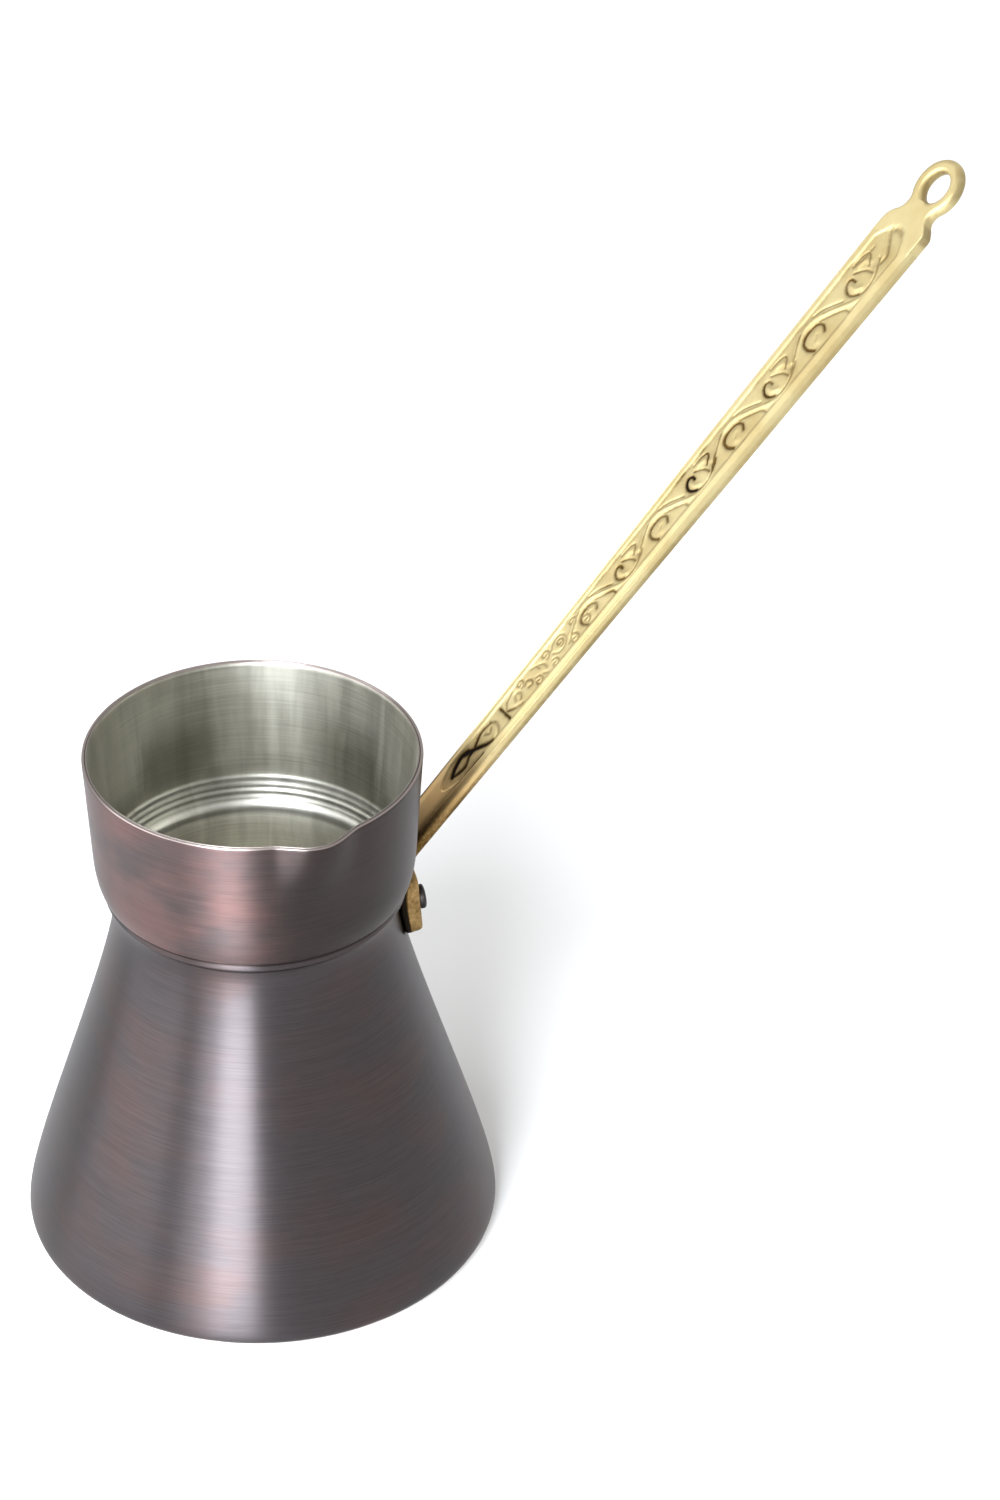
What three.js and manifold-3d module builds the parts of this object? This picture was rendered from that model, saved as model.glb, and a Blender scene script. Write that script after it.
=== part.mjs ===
// A copper coffee pot, or cezve, with a long cast brass handle riveted to its neck.
// Millimetres, +Z up. The origin is the centre of the base, on the table.
// The handle leaves the pot towards +X and the pouring lip is pressed out towards -Y.
import * as THREE from "three";
import { mergeVertices } from "three/addons/utils/BufferGeometryUtils.js";
import Module from "manifold-3d";

const wasm = await Module();
wasm.setup();
const { PI, sin, cos, tan, asin, atan2, sqrt, abs, exp } = Math;
const degree = PI / 180;

// The pot, spun from one disc of copper. Radii are outside radii, depths are measured down from the lip.
const potHeight = 110;
const mouthRadius = 33;
const collarDepth = 22;
const collarDraft = 1.35;
const shoulderReach = 9;
const waistRadius = 28.1;
const waistDepth = 35;
const waistEase = 5;
const bellEase = 12;
const bellyRadius = 47.7;
const bellyEase = 8.7;
const baseCorner = 2.5;
const copperWall = 0.65;

// The turned groove under the collar and the bead below it.
const grooveDepth = 29.4;
const grooveCut = 0.32;
const grooveWidth = 0.4;
const beadBelowGroove = 1.1;
const beadHeight = 0.28;
const beadWidth = 0.5;

// The tin wiped over the inside.
const tinThickness = 0.3;
const tinClearance = 0.05;

// The pouring lip.
const spoutAngle = -88.4 * degree;
const spoutHalfAngle = 16.6 * degree;
const spoutReach = 2.6;
const spoutDrop = 18;
const spoutFullness = 1.9;

// The handle, one brass casting: a curved foot, a bend and a tapered bar with an eye.
const handleRise = 47.9 * degree;
const handleThick = 2.4;
const rootWidth = 8.9;
const tipWidth = 13.8;
const barLength = 156;
const shoulderLength = 3.6;
const eyeNeckWidth = 8.8;
const eyeRadius = 6.2;
const eyeHoleRadius = 3.3;
const eyeFromShoulder = 5.9;
const edgeRounding = 0.6;
const bendRadius = 6;

// The foot that bridges the waist of the pot. footCurve is the radius of its front, less its thickness.
const footWidth = 23;
const footHeight = 12.5;
const footThick = 2.1;
const footCurve = 42;
const footLean = 5 * degree;
const footCorner = 1.6;
const footTopDepth = 31.6;
const footClearance = 0.45;

// The ornament on the handle's upper face: plain rails round a sunk panel that holds a running scroll.
const railWidth = 1.25;
const panelStart = 13;
const panelSink = 0.35;
const stemBelowRail = 0.06;
const curlBelowRail = 0.1;
const leafBelowRail = 0.14;
const scrollCount = 12;
const scrollGrowth = 1.03;
const stemWidth = 0.75;
const curlWidth = 0.6;
const curlTurns = 1.35;
const leafWidth = 1.3;

// The two rivets.
const rivetSpread = 8.5;
const rivetBelowFootTop = 5.9;
const rivetShank = 1.5;
const rivetHeadRadius = 2.45;
const rivetHeadHeight = 1.1;
const rivetHeadRounding = 0.4;
const innerHeadRadius = 2.6;
const innerHeadHeight = 0.8;
const fitGap = 0.3;
const innerHeadGap = 0.45;

// How finely the round forms are drawn.
const ringSteps = 50;
const ringGather = 0.45;

// Solids and meshes

// The closed surface of a geometry as a solid for cutting and joining.
function solidOf(geometry) {
  const bare = geometry.index ? geometry.toNonIndexed() : geometry.clone();
  bare.deleteAttribute("normal");
  bare.deleteAttribute("uv");
  const merged = mergeVertices(bare, 1e-4);
  return new wasm.Manifold(
    new wasm.Mesh({
      numProp: 3,
      vertProperties: new Float32Array(merged.attributes.position.array),
      triVerts: new Uint32Array(merged.index.array),
    }),
  );
}

function geometryOf(solid) {
  const mesh = solid.getMesh();
  const geometry = new THREE.BufferGeometry();
  geometry.setAttribute("position", new THREE.BufferAttribute(new Float32Array(mesh.vertProperties), 3));
  geometry.setIndex(new THREE.BufferAttribute(new Uint32Array(mesh.triVerts), 1));
  const faceted = geometry.toNonIndexed();
  faceted.computeVertexNormals();
  return faceted;
}

function named(name, geometry, colour, roughness) {
  const material = new THREE.MeshStandardMaterial({ color: colour, roughness, metalness: 1 });
  const mesh = new THREE.Mesh(geometry, material);
  mesh.name = name;
  return mesh;
}

// Even steps drawn together round a centre, for the stations where a form turns quickly.
function gathered(steps, centre, strength) {
  const turn = 2 * PI;
  return Array.from({ length: steps + 1 }, (_, i) => {
    const u = i / steps;
    return u - (strength / turn) * (sin(turn * (u - centre)) + sin(turn * centre));
  });
}

// The pot's wall

const lipPoint = new THREE.Vector2(mouthRadius, potHeight);
const collarFoot = new THREE.Vector2(mouthRadius - collarDraft, potHeight - collarDepth);
const waistPoint = new THREE.Vector2(waistRadius, potHeight - waistDepth);
const bellyPoint = new THREE.Vector2(bellyRadius, baseCorner);
const collarSlope = collarDraft / collarDepth;

const collarCurve = new THREE.LineCurve(lipPoint, collarFoot);
const shoulderCurve = new THREE.CubicBezierCurve(
  collarFoot,
  new THREE.Vector2(collarFoot.x - shoulderReach * collarSlope, collarFoot.y - shoulderReach),
  new THREE.Vector2(waistRadius, waistPoint.y + waistEase),
  waistPoint,
);
const bellCurve = new THREE.CubicBezierCurve(
  waistPoint,
  new THREE.Vector2(waistRadius, waistPoint.y - bellEase),
  new THREE.Vector2(bellyRadius, bellyPoint.y + bellyEase),
  bellyPoint,
);
const cornerCurve = new THREE.EllipseCurve(
  bellyRadius - baseCorner, baseCorner, baseCorner, baseCorner, 0, -PI / 2, true,
);

// The groove and bead, as a push along the wall's outward normal.
function neckRipple(depth) {
  const groove = (depth - grooveDepth) / grooveWidth;
  const bead = (depth - grooveDepth - beadBelowGroove) / beadWidth;
  return beadHeight * exp(-bead * bead) - grooveCut * exp(-groove * groove);
}

// Stations down the outside of the wall, from the lip to the centre of the base.
// Each holds a point, the outward normal there and the depth below the lip.
function wallStations(collarSteps, shoulderSteps, rippled) {
  const stations = [];
  const follow = (curve, params) => {
    for (const t of params) {
      const along = curve.getTangent(t);
      const at = curve.getPoint(t);
      const out = new THREE.Vector2(-along.y, along.x);
      const depth = potHeight - at.y;
      if (rippled) at.addScaledVector(out, neckRipple(depth));
      stations.push({ at, out, depth });
    }
  };
  const evenly = (steps) => gathered(steps, 0, 0).slice(1);
  follow(collarCurve, [0, ...evenly(collarSteps)]);
  follow(shoulderCurve, gathered(shoulderSteps, rippled ? 0.47 : 0.5, rippled ? 0.8 : 0).slice(1));
  follow(bellCurve, evenly(8));
  follow(cornerCurve, evenly(3));
  stations.push({ at: new THREE.Vector2(0, 0), out: new THREE.Vector2(0, -1), depth: potHeight });
  return stations;
}

const outsideStations = wallStations(3, 14, true);
const insideStations = wallStations(3, 8, false);

// How far the pouring lip is pressed out of round at an angle and a depth.
function spoutPush(angle, depth) {
  const turn = atan2(sin(angle - spoutAngle), cos(angle - spoutAngle));
  const across = abs(turn) / spoutHalfAngle;
  const down = depth / spoutDrop;
  if (across >= 1 || down >= 1) return 0;
  return spoutReach * cos((PI / 2) * across) ** spoutFullness * cos((PI / 2) * down) ** 2;
}

const ringAngles = gathered(ringSteps, 0, ringGather).map((u) => spoutAngle + 2 * PI * u);

// A turned shell between two offsets of the wall, pressed out at the pouring lip.
// Neighbouring shells turn in opposite senses, so that their facing surfaces are split into the same triangles.
function shellBetween(outer, outerInset, inner, innerInset, sense) {
  const inset = (station, by) => ({
    r: Math.max(0, station.at.x - station.out.x * by),
    z: station.at.y - station.out.y * by,
    depth: station.depth,
  });
  const profile = [
    ...outer.map((s) => inset(s, outerInset)).reverse(),
    ...inner.map((s) => inset(s, innerInset)),
  ];
  const lathe = new THREE.LatheGeometry(profile.map((p) => new THREE.Vector2(p.r, p.z)), ringSteps);
  const position = lathe.getAttribute("position");
  for (let i = 0; i < position.count; i++) {
    const { r, z, depth } = profile[i % profile.length];
    const ring = (sense * Math.floor(i / profile.length) + ringSteps) % ringSteps;
    const angle = ringAngles[ring];
    const reach = r > 0 ? r + spoutPush(angle, depth) : 0;
    position.setXYZ(i, reach * cos(angle), reach * sin(angle), z);
  }
  const solid = solidOf(lathe);
  if (solid.volume() > 0) return solid;
  lathe.index.array.reverse();
  return solidOf(lathe);
}

// The smooth wall's radius at a depth, on any offset of it.
function wallRadius(depth, inset) {
  const points = insideStations.map((s) => ({
    r: s.at.x - s.out.x * inset,
    d: potHeight - (s.at.y - s.out.y * inset),
  }));
  const k = points.findIndex((p) => p.d >= depth);
  const [a, b] = [points[k - 1], points[k]];
  return a.r + ((b.r - a.r) * (depth - a.d)) / (b.d - a.d);
}

// The handle's foot

// The foot stands clear of the wall at its top edge and leans out to follow the bell.
const footTop = potHeight - footTopDepth;
const footInner = wallRadius(footTopDepth, 0) + footClearance;
const footMiddle = footInner + footThick / 2;

// A strip of even thickness along a line of points, as an outline.
function stripOutline(points, halfWidths) {
  const sides = [[], []];
  points.forEach((p, i) => {
    const before = points[Math.max(0, i - 1)];
    const after = points[Math.min(points.length - 1, i + 1)];
    const along = after.clone().sub(before).normalize();
    const half = halfWidths[i];
    sides[0].push(new THREE.Vector2(p.x - along.y * half, p.y + along.x * half));
    sides[1].unshift(new THREE.Vector2(p.x + along.y * half, p.y - along.x * half));
  });
  return new THREE.Shape([...sides[0], ...sides[1]]);
}

function roundedBar(shape, height, rounding, curveSegments) {
  const bar = new THREE.ExtrudeGeometry(shape, {
    depth: height - 2 * rounding,
    bevelEnabled: rounding > 0,
    bevelThickness: rounding,
    bevelSize: rounding,
    bevelOffset: -rounding,
    bevelSegments: 2,
    curveSegments,
  });
  return bar.translate(0, 0, rounding);
}

// Its back is hollowed to the neck's round and its front is flatter, so that it is thickest at its ends.
function footSolid() {
  const reach = 0.52 * footWidth;
  const backTurn = asin(reach / footInner);
  const frontTurn = asin(reach / (footCurve + footThick));
  const plan = new THREE.Shape();
  plan.absarc(-footInner, 0, footInner, backTurn, -backTurn, true);
  plan.absarc(-footCurve, 0, footCurve + footThick, -frontTurn, frontTurn, false);
  plan.closePath();
  const plate = new THREE.ExtrudeGeometry(plan, { depth: footHeight, bevelEnabled: false, curveSegments: 12 });
  plate.translate(0, 0, -footHeight);

  const halfWidth = footWidth / 2;
  const front = new THREE.Shape();
  front.moveTo(-halfWidth + footCorner, 0);
  front.lineTo(halfWidth - footCorner, 0);
  front.absarc(halfWidth - footCorner, -footCorner, footCorner, PI / 2, 0, true);
  front.absarc(halfWidth - footCorner, footCorner - footHeight, footCorner, 0, -PI / 2, true);
  front.absarc(footCorner - halfWidth, footCorner - footHeight, footCorner, -PI / 2, -PI, true);
  front.absarc(footCorner - halfWidth, -footCorner, footCorner, PI, PI / 2, true);
  const cutter = new THREE.ExtrudeGeometry(front, { depth: 4 * footThick + 8, bevelEnabled: false, curveSegments: 3 });
  cutter.rotateX(PI / 2).rotateZ(PI / 2).translate(-2 * footThick - 4, 0, 0);

  const placed = new THREE.Matrix4().makeRotationY(-footLean).setPosition(footInner, 0, footTop);
  plate.applyMatrix4(placed);
  cutter.applyMatrix4(placed);
  return solidOf(plate).intersect(solidOf(cutter));
}

// The bend joins the foot's middle plane to the bar's, seen from the side.
const barDirection = new THREE.Vector2(cos(handleRise), sin(handleRise));
const footDirection = new THREE.Vector2(-sin(footLean), cos(footLean));
const bendTurn = PI / 2 + footLean - handleRise;
const bendLength = bendRadius * tan(bendTurn / 2);
const kneePoint = new THREE.Vector2(footMiddle, footTop);
const barStart = kneePoint.clone().addScaledVector(barDirection, bendLength);

function bendSolid() {
  const low = kneePoint.clone().addScaledVector(footDirection, -0.6 * footHeight);
  const bendStart = kneePoint.clone().addScaledVector(footDirection, -bendLength);
  const barEnd = barStart.clone().addScaledVector(barDirection, 3);
  const middle = new THREE.Path();
  middle.moveTo(low.x, low.y);
  middle.lineTo(bendStart.x, bendStart.y);
  middle.quadraticCurveTo(kneePoint.x, kneePoint.y, barStart.x, barStart.y);
  middle.lineTo(barEnd.x, barEnd.y);
  const points = middle.getPoints(8);
  const thick = points.map((p) => {
    if (p.y <= bendStart.y) return 0.4 * footThick;
    return (p === points.at(-1) ? 0.7 : 1) * (handleThick / 2);
  });
  const side = stripOutline(points, thick);
  const width = rootWidth - 0.2;
  const strip = roundedBar(side, width, edgeRounding, 8);
  strip.translate(0, 0, -width / 2).rotateX(PI / 2);
  return solidOf(strip);
}

// The handle's bar. Its own frame has X along it from the end of the bend, Y across and Z out of the upper face.

const barPlace = new THREE.Matrix4()
  .makeRotationY(-handleRise)
  .setPosition(barStart.x, 0, barStart.y);
const eyeCentre = barLength + shoulderLength + eyeFromShoulder;

function barHalfWidth(s) {
  return (rootWidth + ((tipWidth - rootWidth) * s) / barLength) / 2;
}

function barSolid() {
  const neck = eyeNeckWidth / 2;
  const neckAngle = PI - asin(neck / eyeRadius);
  const outline = new THREE.Shape();
  outline.moveTo(0, -rootWidth / 2);
  outline.lineTo(barLength, -tipWidth / 2);
  outline.quadraticCurveTo(barLength + 0.45 * shoulderLength, -tipWidth / 2, barLength + shoulderLength, -neck);
  outline.absarc(eyeCentre, 0, eyeRadius, -neckAngle, neckAngle, false);
  outline.lineTo(barLength + shoulderLength, neck);
  outline.quadraticCurveTo(barLength + 0.45 * shoulderLength, tipWidth / 2, barLength, tipWidth / 2);
  outline.lineTo(0, rootWidth / 2);
  const hole = new THREE.Path();
  hole.absarc(eyeCentre, 0, eyeHoleRadius + edgeRounding, 0, 2 * PI, true);
  outline.holes.push(hole);
  const bar = roundedBar(outline, handleThick, edgeRounding, 9);
  bar.translate(0, 0, -handleThick / 2);
  return solidOf(bar);
}

// The sunk panel between the rails, with pointed ends.
function panelHalfWidth(s) {
  return barHalfWidth(s) - railWidth;
}

const panelEnd = barLength - 2;

function panelSolid() {
  const points = [];
  const taper = 6;
  for (const s of [panelStart + taper, panelEnd - taper]) points.push(new THREE.Vector2(s, -panelHalfWidth(s)));
  points.push(new THREE.Vector2(panelEnd, 0));
  for (const s of [panelEnd - taper, panelStart + taper]) points.push(new THREE.Vector2(s, panelHalfWidth(s)));
  points.push(new THREE.Vector2(panelStart, 0));
  const sunk = new THREE.ExtrudeGeometry(new THREE.Shape(points), { depth: handleThick, bevelEnabled: false });
  sunk.translate(0, 0, handleThick / 2 - panelSink);
  return solidOf(sunk);
}

// The running scroll: a stem that crosses the panel once in each bay, and in each bay a curl and a leaf.
// The bays grow in length towards the eye, as the panel grows in width.
const bayShares = Array.from({ length: scrollCount }, (_, i) => scrollGrowth ** i);
const bayUnit = (panelEnd - panelStart) / bayShares.reduce((sum, share) => sum + share, 0);
const bayStarts = bayShares.map((_, i) => panelStart + bayUnit * bayShares.slice(0, i).reduce((sum, v) => sum + v, 0));

function relief(points, widths, belowRail) {
  const rooted = 0.2;
  const height = panelSink - belowRail + rooted;
  const rib = new THREE.ExtrudeGeometry(stripOutline(points, widths), { depth: height, bevelEnabled: false });
  rib.translate(0, 0, handleThick / 2 - panelSink - rooted);
  return solidOf(rib);
}

function scrollSolids() {
  const ribs = [];
  const stemSteps = 8;
  const stem = [];
  bayStarts.forEach((start, bay) => {
    const length = bayUnit * bayShares[bay];
    const side = bay % 2 ? 1 : -1;
    for (let i = 0; i < stemSteps; i++) {
      const s = start + (length * i) / stemSteps;
      stem.push(new THREE.Vector2(s, -side * 0.8 * panelHalfWidth(s) * sin((PI * i) / stemSteps)));
    }

    // The curl leaves the stem and winds in on the open side of the bay.
    const centre = new THREE.Vector2(start + 0.5 * length, side * 0.22 * panelHalfWidth(start));
    const reach = 0.58 * panelHalfWidth(start + length / 2);
    const curl = [];
    const curlSteps = 10;
    for (let i = 0; i <= curlSteps; i++) {
      const share = i / curlSteps;
      const angle = side * (PI - 2 * PI * curlTurns * share);
      const radius = reach * (1 - 0.72 * share);
      curl.push(new THREE.Vector2(centre.x + 1.25 * radius * cos(angle), centre.y + radius * sin(angle)));
    }
    ribs.push(relief(curl, curl.map((_, i) => (curlWidth / 2) * (1 - (0.35 * i) / curlSteps)), curlBelowRail));

    // A leaf fills the corner that the curl leaves free.
    const tip = start + length;
    const leaf = [0, 0.25, 0.5, 0.75, 1].map((share) => new THREE.Vector2(
      tip - length * (0.3 - 0.42 * share),
      side * panelHalfWidth(tip) * (0.25 + 0.5 * share),
    ));
    ribs.push(relief(leaf, [0.15, 0.8, 1, 0.7, 0.12].map((w) => (leafWidth / 2) * w), leafBelowRail));
  });
  stem.push(new THREE.Vector2(panelEnd, 0));
  ribs.push(relief(stem, stem.map(() => stemWidth / 2), stemBelowRail));
  return ribs;
}

// The rivets

// Where a rivet's axis meets the foot's outer face, and the direction of that axis away from the pot.
function rivetPlace(side) {
  const turn = asin(rivetSpread / (footCurve + footThick));
  const inPlan = new THREE.Vector3(
    (footCurve + footThick) * cos(turn) - footCurve, side * rivetSpread, -rivetBelowFootTop,
  );
  const axis = new THREE.Vector3(cos(turn), side * sin(turn), 0);
  const lean = new THREE.Matrix4().makeRotationY(-footLean);
  const face = inPlan.applyMatrix4(lean).add(new THREE.Vector3(footInner, 0, footTop));
  axis.applyMatrix4(lean);
  const turned = new THREE.Quaternion().setFromUnitVectors(new THREE.Vector3(0, 0, 1), axis);
  return { face, axis, matrix: new THREE.Matrix4().compose(face, turned, new THREE.Vector3(1, 1, 1)) };
}

// How far down a rivet's axis the tinned inside of the neck lies.
const liningInset = copperWall + tinClearance + tinThickness;

function depthToLining(place) {
  const level = sqrt(place.axis.x ** 2 + place.axis.y ** 2);
  const toward = (place.face.x * place.axis.x + place.face.y * place.axis.y) / level;
  const aside = (place.face.x * place.axis.y - place.face.y * place.axis.x) / level;
  const radius = wallRadius(potHeight - place.face.z, liningInset);
  return (toward - sqrt(radius ** 2 - aside ** 2)) / level;
}

function rivetGeometry(place) {
  const grip = depthToLining(place) + innerHeadGap;
  const top = fitGap + rivetHeadHeight;
  const outline = new THREE.Path();
  outline.moveTo(0, -grip - innerHeadHeight);
  outline.lineTo(0.7 * innerHeadRadius, -grip - innerHeadHeight);
  outline.lineTo(innerHeadRadius, -grip - 0.4 * innerHeadHeight);
  outline.lineTo(innerHeadRadius, -grip);
  outline.lineTo(rivetShank, -grip);
  outline.lineTo(rivetShank, fitGap);
  outline.lineTo(rivetHeadRadius, fitGap);
  outline.lineTo(rivetHeadRadius, top - rivetHeadRounding);
  outline.absarc(rivetHeadRadius - rivetHeadRounding, top - rivetHeadRounding, rivetHeadRounding, 0, PI / 2, false);
  outline.lineTo(0, top);
  const turned = new THREE.LatheGeometry(outline.getPoints(2), 16);
  return turned.rotateX(PI / 2).applyMatrix4(place.matrix);
}

function rivetHole(place) {
  const drill = new THREE.CylinderGeometry(rivetShank + fitGap, rivetShank + fitGap, 24, 16);
  return solidOf(drill.rotateX(PI / 2).applyMatrix4(place.matrix));
}

// Everything together

const rivets = { near: rivetPlace(-1), far: rivetPlace(1) };
const holes = rivetHole(rivets.near).add(rivetHole(rivets.far));

const potBody = shellBetween(outsideStations, 0, insideStations, copperWall, 1).subtract(holes);
const tinLining = shellBetween(
  insideStations, copperWall + tinClearance, insideStations, liningInset, -1,
).subtract(holes);

const plainBar = barSolid().subtract(panelSolid());
const carvedBar = scrollSolids().reduce((bar, rib) => bar.add(rib), plainBar);
const placedBar = carvedBar.transform(barPlace.elements);
const handle = placedBar.add(bendSolid()).add(footSolid()).subtract(holes);

const cezve = new THREE.Group();
cezve.add(
  named("pot_body", geometryOf(potBody), 0x5f4a4b, 0.42),
  named("tin_lining", geometryOf(tinLining), 0x9b9d92, 0.38),
  named("handle", geometryOf(handle), 0xd8c382, 0.35),
  named("rivet_spout_side", rivetGeometry(rivets.near), 0x2a1f1a, 0.5),
  named("rivet_far_side", rivetGeometry(rivets.far), 0x2a1f1a, 0.5),
);

export default cezve;
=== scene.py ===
import math

import bmesh
import bpy
import numpy as np
from mathutils import Matrix, Vector, noise


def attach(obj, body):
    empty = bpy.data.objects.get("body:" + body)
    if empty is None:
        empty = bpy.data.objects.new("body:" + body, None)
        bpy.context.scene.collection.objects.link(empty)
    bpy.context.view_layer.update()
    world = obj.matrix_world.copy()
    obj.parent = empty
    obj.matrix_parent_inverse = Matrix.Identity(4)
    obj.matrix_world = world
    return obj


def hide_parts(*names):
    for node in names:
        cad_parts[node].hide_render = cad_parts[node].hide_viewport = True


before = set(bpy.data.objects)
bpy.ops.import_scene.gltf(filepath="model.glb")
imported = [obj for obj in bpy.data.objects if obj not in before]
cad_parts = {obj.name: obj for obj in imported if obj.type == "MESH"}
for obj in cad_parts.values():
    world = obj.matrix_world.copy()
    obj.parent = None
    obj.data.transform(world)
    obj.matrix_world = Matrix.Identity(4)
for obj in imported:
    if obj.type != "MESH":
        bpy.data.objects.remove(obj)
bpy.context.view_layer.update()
mm = 0.001
mergeDistance = 2e-6  # in metres

# The photograph's camera, for an image of 1000 x 1500

photoView = {
    "azimuth": -23.68,
    "elevation": 33.84,
    "roll": 0.56,
    "rimHeight": 110 * mm,
    "distance": 924 * mm,
    "focalPixels": 4787.6,
    "rimPixel": (252.497, 751.678),
    "imageSize": (1000, 1500),
    "sensor": 36.0,
    "clipEnd": 20,
}


def makeCamera(view):
    a = math.radians(view["azimuth"])
    e = math.radians(view["elevation"])
    roll = math.radians(view["roll"])
    right = Vector((math.cos(a), math.sin(a), 0))
    forward = Vector((-math.sin(a) * math.cos(e), math.cos(a) * math.cos(e), -math.sin(e)))
    up = right.cross(forward)
    x = math.cos(roll) * right + math.sin(roll) * up
    y = -math.sin(roll) * right + math.cos(roll) * up
    width, height = view["imageSize"]
    across = (view["rimPixel"][0] - width / 2) * view["distance"] / view["focalPixels"]
    above = (height / 2 - view["rimPixel"][1]) * view["distance"] / view["focalPixels"]
    rim = Vector((0, 0, view["rimHeight"]))
    place = rim - view["distance"] * forward - across * x - above * y
    data = bpy.data.cameras.new("photoCamera")
    data.sensor_fit = "HORIZONTAL"
    data.sensor_width = view["sensor"]
    data.lens = view["focalPixels"] * view["sensor"] / width
    data.clip_end = view["clipEnd"]
    camera = bpy.data.objects.new("photoCamera", data)
    bpy.context.scene.collection.objects.link(camera)
    turn = Matrix((x, y, -forward)).transposed()
    camera.matrix_world = Matrix.Translation(place) @ turn.to_4x4()
    bpy.context.scene.camera = camera


makeCamera(photoView)
print("camera set")

# Mesh helpers


def finishPiece(name, bm, node, smoothAngle):
    mesh = bpy.data.meshes.new(name)
    bm.to_mesh(mesh)
    bm.free()
    mesh.shade_smooth()
    mesh.set_sharp_from_angle(angle=math.radians(smoothAngle))
    piece = bpy.data.objects.new(name, mesh)
    bpy.context.scene.collection.objects.link(piece)
    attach(piece, "root")
    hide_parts(node)
    return piece


# a run of vertices joined by edges
def addChain(bm, points):
    verts = [bm.verts.new(p) for p in points]
    return verts + [bm.edges.new(pair) for pair in zip(verts, verts[1:])]


def spinRound(bm, geometry, steps):
    bmesh.ops.spin(bm, geom=geometry, cent=(0, 0, 0), axis=(0, 0, 1), angle=2 * math.pi, steps=steps,
                   use_merge=True)
    bmesh.ops.remove_doubles(bm, verts=bm.verts, dist=mergeDistance)
    bmesh.ops.recalc_face_normals(bm, faces=bm.faces)


def joinInto(bm, part):
    mesh = bpy.data.meshes.new("part")
    part.to_mesh(mesh)
    part.free()
    bm.from_mesh(mesh)
    bpy.data.meshes.remove(mesh)


# a point on a cubic curve
def bezier(a, b, c, d, t):
    s = 1 - t
    return tuple(s**3 * p + 3 * s * s * t * q + 3 * s * t * t * r + t**3 * u
                 for p, q, r, u in zip(a, b, c, d))


# a soft step from 0 to 1, which runs down where low is above high
def smooth(low, high, x):
    t = np.clip((np.asarray(x, float) - low) / (high - low), 0, 1)
    return t * t * (3 - 2 * t)


def bump(x, centre, width):
    return math.exp(-(((x - centre) / width) ** 2))


# The pot's wall, in millimetres as in the CAD

wall = {
    "height": 110.0,
    "mouth": 33.0,
    "collarDepth": 22.0,
    "collarDraft": 1.35,
    "shoulderReach": 9.0,
    "waist": 28.1,
    "waistDepth": 35.0,
    "waistEase": 5.0,
    "bellEase": 12.0,
    "belly": 47.7,
    "bellyEase": 8.7,
    "corner": 2.5,
    "quarterRound": 0.5523,  # makes a cubic curve follow a quarter circle
    "basePulls": (30, 15),  # radii that spread the steps of the flat base
    "copper": 0.65,  # the copper's thickness
    "lining": 0.7,  # how far in the tin starts
    "inside": 1.0,  # how far in the tin ends
    "copperLip": 0.3,  # how far down the rounding of each lip reaches
    "tinLip": 0.15,
    "outerLip": 1.2,  # how much further down it reaches on the outer face
    "fineSteps": (22, 64, 70, 8, 4),  # collar, shoulder, bell, corner and base
    "plainSteps": (22, 56, 50, 6, 4),
    "ringSteps": 224,
    "smoothAngle": 60,
}
# points over the lip: share of its width from the outside, and share of its rounding below the top
lipShape = [(0.06, 0.45), (0.25, 0.08), (0.5, 0.0), (0.8, 0.2)]
groove = {"depth": 29.4, "cut": 0.45, "width": 0.38, "bead": 1.15, "beadHeight": 0.42, "beadWidth": 0.46}
spout = {"angle": -88.4, "halfAngle": 16.6, "reach": 2.6, "drop": 18.0, "fullness": 1.9}
insideRings = [  # depth, height and width
    (26.5, 0.15, 0.5), (28.1, 0.09, 0.42), (29.35, 0.15, 0.42), (30.55, 0.05, 0.25), (32.0, 0.25, 0.85)]


# stations down the outside, each with its outward normal and depth, from the lip to the centre of the base
def wallStations(counts):
    w = wall
    lip = (w["mouth"], w["height"])
    collarFoot = (w["mouth"] - w["collarDraft"], w["height"] - w["collarDepth"])
    slope = w["collarDraft"] / w["collarDepth"]
    waist = (w["waist"], w["height"] - w["waistDepth"])
    belly = (w["belly"], w["corner"])
    third = tuple(a + (b - a) / 3 for a, b in zip(lip, collarFoot))
    twoThirds = tuple(a + 2 * (b - a) / 3 for a, b in zip(lip, collarFoot))
    k = w["quarterRound"] * w["corner"]
    flat = w["belly"] - w["corner"]
    outerPull, innerPull = w["basePulls"]
    curves = [
        (lip, third, twoThirds, collarFoot),
        (collarFoot, (collarFoot[0] - w["shoulderReach"] * slope, collarFoot[1] - w["shoulderReach"]),
         (w["waist"], waist[1] + w["waistEase"]), waist),
        (waist, (w["waist"], waist[1] - w["bellEase"]), (w["belly"], belly[1] + w["bellyEase"]), belly),
        (belly, (w["belly"], belly[1] - k), (flat + k, 0), (flat, 0)),
        ((flat, 0), (outerPull, 0), (innerPull, 0), (0, 0)),
    ]
    beside = 1e-3  # how far before and after a station its slope is taken
    stations = []
    for curve, count in zip(curves, counts):
        for i in range(1 if stations else 0, count + 1):
            t = i / count
            r, z = bezier(*curve, t)
            r0, z0 = bezier(*curve, max(0, t - beside))
            r1, z1 = bezier(*curve, min(1, t + beside))
            length = math.hypot(r1 - r0, z1 - z0)
            stations.append((r, z, -(z1 - z0) / length, (r1 - r0) / length, w["height"] - z))
    return stations


def outerRipple(depth):
    g = groove
    bead = g["beadHeight"] * bump(depth, g["depth"] + g["bead"], g["beadWidth"])
    return bead - g["cut"] * bump(depth, g["depth"], g["width"])


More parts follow.
